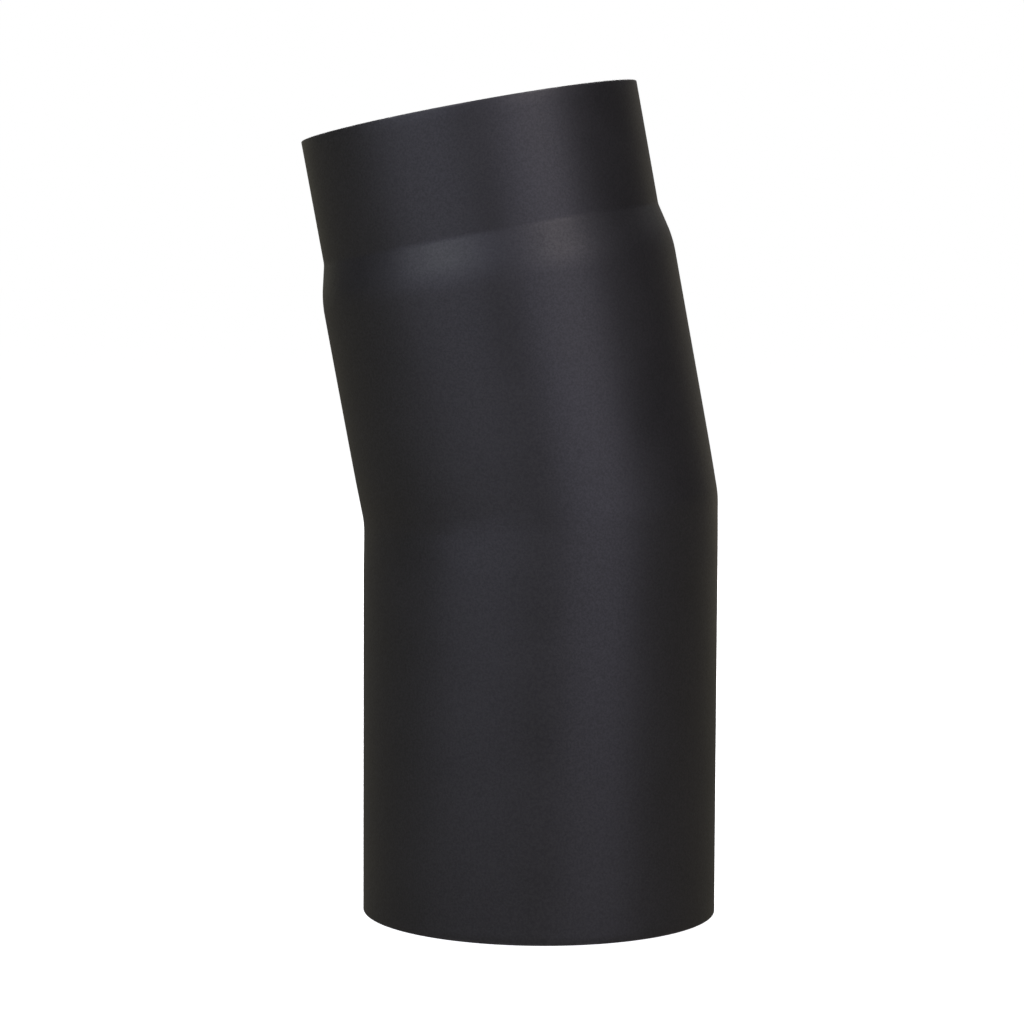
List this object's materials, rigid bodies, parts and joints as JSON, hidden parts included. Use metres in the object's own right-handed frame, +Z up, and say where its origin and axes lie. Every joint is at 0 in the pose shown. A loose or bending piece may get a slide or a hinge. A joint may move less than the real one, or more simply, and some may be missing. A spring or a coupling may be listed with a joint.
{
  "type": "flue elbow",
  "caption": "Slightly bent flue elbow of painted steel tube, with a plain socket at the bottom and a swaged-down spigot at the top, for a stove pipe.",
  "frame": {"origin": "centre of the socket rim, the open end of the lower leg", "axes": "+Z up the lower leg's axis, away from the socket's mouth; the bend lies in the XZ plane and the upper leg leans towards -X; the lengthways welds are on the +Y side"},
  "size_m": [0.1458, 0.1242, 0.2904],
  "materials": {
    "black_paint": "satin-matt heat-resistant paint",
    "painted_weld": "ground weld under the same satin-matt paint"
  },
  "bodies": {
    "root": {"lower_leg": "black_paint", "upper_leg": "black_paint", "mitre_weld": "painted_weld", "lower_leg_seam_weld": "painted_weld", "upper_leg_seam_weld": "painted_weld"}
  },
  "joints": []
}
